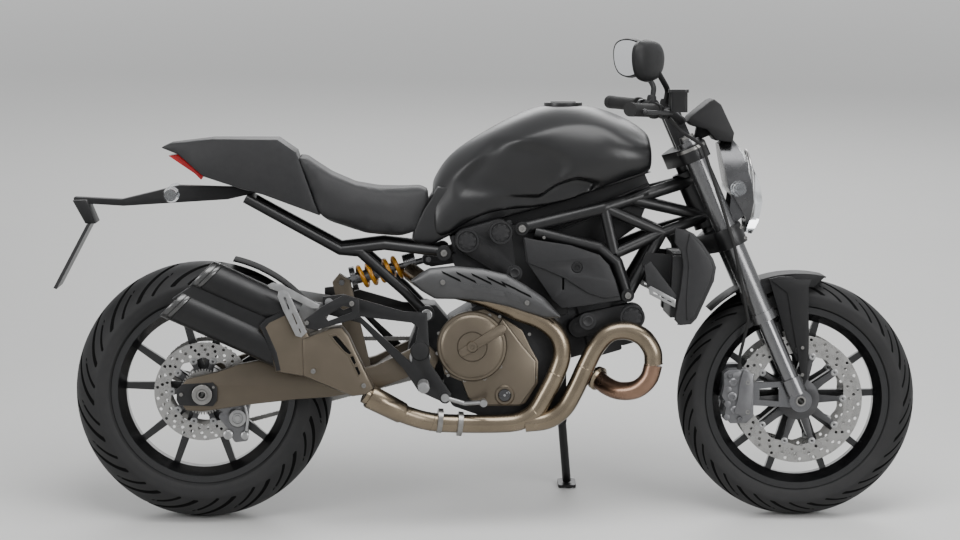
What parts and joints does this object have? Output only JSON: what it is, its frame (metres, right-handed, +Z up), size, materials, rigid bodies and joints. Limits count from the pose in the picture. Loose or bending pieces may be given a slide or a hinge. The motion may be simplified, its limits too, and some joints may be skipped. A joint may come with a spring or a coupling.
{
  "type": "standard motorcycle",
  "caption": "Naked road motorcycle with a V-twin engine in a trellis frame, steering fork, turning wheels, chain drive and a folding side stand, parked leaning on it.",
  "frame": {"origin": "on the floor below the centre of the bounding box of the parked machine", "axes": "+X to the front, +Y to the left side that it leans to, +Z up"},
  "size_m": [2.1608, 0.8453, 1.2425],
  "materials": {
    "frame_black": "satin black powder coat",
    "tank_black": "satin black paint",
    "engine_grey": "dark grey cast cases",
    "cover_bronze": "bronze painted covers",
    "wheel_black": "satin black cast wheels",
    "tyre": "black road tyre",
    "disc_steel": "ground brake steel",
    "bare_steel": "plain steel",
    "fork_grey": "anodized silver grey",
    "fork_chrome": "hard chrome",
    "alloy": "cast alloy",
    "swingarm_bronze": "bronze brown paint",
    "header_steel": "heat tinted stainless steel",
    "silencer_black": "matte black heat paint",
    "plastic_black": "grained black plastic",
    "plastic_grey": "dark grey plastic",
    "seat_vinyl": "dark grey grained vinyl",
    "lens_red": "red lens",
    "lens_clear": "clear lens",
    "screen": "dark display glass",
    "rubber": "black rubber",
    "plate_black": "blank black plate",
    "spring_yellow": "yellow paint",
    "calliper_grey": "grey anodized"
  },
  "bodies": {
    "chassis": {"trellis_frame": "frame_black", "tail_subframe": "frame_black", "engine_block": "engine_grey", "belt_covers": "engine_grey", "clutch_cover": "cover_bronze", "left_covers": "engine_grey", "fuel_tank": "tank_black", "seat": "seat_vinyl", "tail_cowl": "plastic_grey", "tail_lamp": "lens_red", "plate_holder": "plastic_black", "number_plate": "plate_black", "rear_indicators": "lens_clear", "side_covers": "plastic_grey", "radiator": "plastic_black", "exhaust_headers": "header_steel", "silencer": "silencer_black", "silencer_front": "cover_bronze", "heat_shield": "silencer_black", "swingarm": "swingarm_bronze", "swingarm_bridge": "swingarm_bronze", "swingarm_pivot": "bare_steel", "rear_axle": "bare_steel", "shock": "fork_grey", "shock_spring": "spring_yellow", "rear_caliper": "calliper_grey", "footrest_plates": "frame_black", "footpegs": "alloy", "foot_controls": "alloy", "hugger": "plastic_black", "chain": "bare_steel"},
    "steering": {"fork_outers": "fork_grey", "fork_inners": "fork_chrome", "yokes": "frame_black", "handlebar": "frame_black", "grips": "rubber", "mirrors": "plastic_black", "bar_controls": "frame_black", "brake_hoses": "rubber", "instrument": "screen", "headlight": "alloy", "headlight_lens": "lens_clear", "front_indicators": "lens_clear", "front_fender": "plastic_black", "front_calipers": "calliper_grey", "front_axle": "bare_steel"},
    "front_wheel": {"front_tyre": "tyre", "front_wheel": "wheel_black", "front_discs": "disc_steel"},
    "rear_wheel": {"rear_tyre": "tyre", "rear_wheel": "wheel_black", "rear_disc": "disc_steel", "rear_sprocket": "bare_steel"},
    "side_stand": {"side_stand": "frame_black"},
    "fuel_cap": {"fuel_cap": "tank_black"}
  },
  "joints": [
    {"name": "steering", "type": "hinge", "parent": "chassis", "child": "steering", "pos_m": [0.53053, -0.06498, 0.78988], "axis": [-0.3987, 0.1592, 0.9031], "range_deg": [-32, 32]},
    {"name": "front_wheel_spin", "type": "hinge", "parent": "steering", "child": "front_wheel", "pos_m": [0.78134, -0.15208, 0.29592], "axis": [0, 0.9848, -0.1736], "continuous": true},
    {"name": "rear_wheel_spin", "type": "hinge", "parent": "chassis", "child": "rear_wheel", "pos_m": [-0.7095, -0.14808, 0.31857], "axis": [0, 0.9848, -0.1736], "continuous": true},
    {"name": "side_stand_fold", "type": "hinge", "parent": "chassis", "child": "side_stand", "pos_m": [0.1955, -0.03627, 0.21558], "axis": [0.0893, 0.906, 0.4139], "range_deg": [0, 88.1]},
    {"name": "fuel_cap_hinge", "type": "hinge", "parent": "chassis", "child": "fuel_cap", "pos_m": [0.2405, -0.02318, 1.02694], "axis": [0, 0.9848, -0.1736], "range_deg": [0, 95]}
  ]
}
